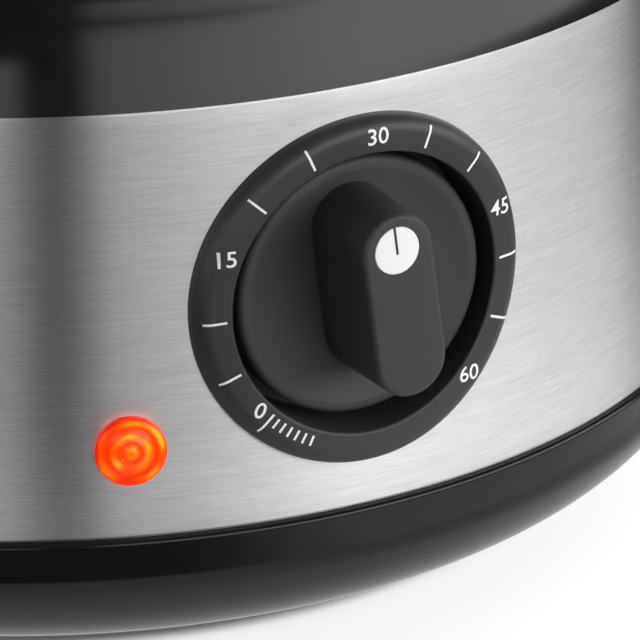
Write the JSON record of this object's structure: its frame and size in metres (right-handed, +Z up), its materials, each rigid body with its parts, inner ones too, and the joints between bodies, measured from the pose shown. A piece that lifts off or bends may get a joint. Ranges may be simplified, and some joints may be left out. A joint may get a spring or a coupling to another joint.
{
  "type": "egg cooker",
  "caption": "Round brushed-steel egg cooker with a black base and collar, a clockwork dial timer with a bar knob, an orange pilot lamp, a lift-off egg tray and a clear dome lid.",
  "frame": {"origin": "on the table, under the middle of the body", "axes": "+Z up through the lid's knob, the dial faces -Y, +X to the right of someone facing the dial"},
  "size_m": [0.2024, 0.224, 0.192],
  "materials": {
    "black_gloss": "glossy moulded black plastic",
    "black_satin": "satin black plastic with white printed scale",
    "black_textured": "fine-grained matte black plastic",
    "white_print": "white plastic insert",
    "brushed_steel": "stainless steel, brushed round the body",
    "dish_steel": "pressed stainless steel with a satin floor",
    "cast_aluminium": "cast aluminium",
    "element_sheath": "dull nickel steel sheath",
    "zinc": "zinc-plated steel",
    "spring_steel": "hardened steel",
    "brass": "stamped brass",
    "rubber": "moulded black rubber",
    "silicone": "grey silicone rubber",
    "brown_plastic": "brown phenolic moulding",
    "fuse_sleeve": "woven glass sleeve",
    "lens_orange": "clear orange-red plastic, lit from behind",
    "lamp_glow": "glowing neon lamp",
    "lamp_shell": "natural nylon",
    "wire_jacket": "glass-braided wire jacket",
    "clear_lid": "clear moulded plastic"
  },
  "bodies": {
    "base": {"base_pan": "black_gloss", "rubber_feet": "rubber", "base_screws": "zinc", "steel_band": "brushed_steel", "collar": "black_gloss", "dish_gasket": "silicone", "water_dish": "dish_steel", "heat_plate": "cast_aluminium", "heating_element": "element_sheath", "element_terminals": "zinc", "thermostat": "brown_plastic", "thermostat_bracket": "zinc", "thermostat_screws": "zinc", "thermal_fuse": "fuse_sleeve", "fuse_clip": "zinc", "plate_studs": "zinc", "shield_spacers": "zinc", "heat_shield": "zinc", "shield_nuts": "zinc", "dial_ring": "black_satin", "timer_screws": "zinc", "timer_front_plate": "zinc", "timer_rear_plate": "zinc", "timer_pillars": "brass", "spring_barrel": "brass", "mainspring": "spring_steel", "switch_block": "brown_plastic", "contact_leaves": "brass", "indicator_lens": "lens_orange", "lens_clip": "spring_steel", "neon_lamp": "lamp_glow", "lamp_holder": "lamp_shell", "cord_inlet": "rubber", "terminal_block": "lamp_shell", "terminal_screws": "zinc", "inner_leads": "wire_jacket"},
    "dial": {"knob": "black_textured", "pointer_dot": "white_print", "timer_shaft": "zinc", "knob_clip": "spring_steel", "main_wheel": "brass", "switch_cam": "black_textured"},
    "second_train": {"second_arbor": "spring_steel", "second_wheel": "brass"},
    "tray": {"egg_tray": "black_textured", "tray_grips": "black_textured"},
    "lid": {"lid_dome": "clear_lid", "lid_knob": "black_gloss", "lid_washer": "silicone", "lid_screw": "zinc"}
  },
  "joints": [
    {"name": "timer_turn", "type": "hinge", "parent": "base", "child": "dial", "pos_m": [0, -0.09975, 0.0571], "axis": [0, -1, 0], "range_deg": [-141, 131]},
    {"name": "second_wheel_turn", "type": "hinge", "parent": "base", "child": "second_train", "pos_m": [0.01479, -0.08, 0.04674], "axis": [0, -1, 0], "range_deg": [-720, 720]},
    {"name": "tray_lift", "type": "slide", "parent": "base", "child": "tray", "axis": [0, 0, 1], "range_m": [0, 0.12]},
    {"name": "lid_lift", "type": "slide", "parent": "tray", "child": "lid", "axis": [0, 0, 1], "range_m": [0, 0.12]}
  ],
  "couplings": [
    {"joint": "second_wheel_turn", "follows": "timer_turn", "ratio": -5}
  ]
}
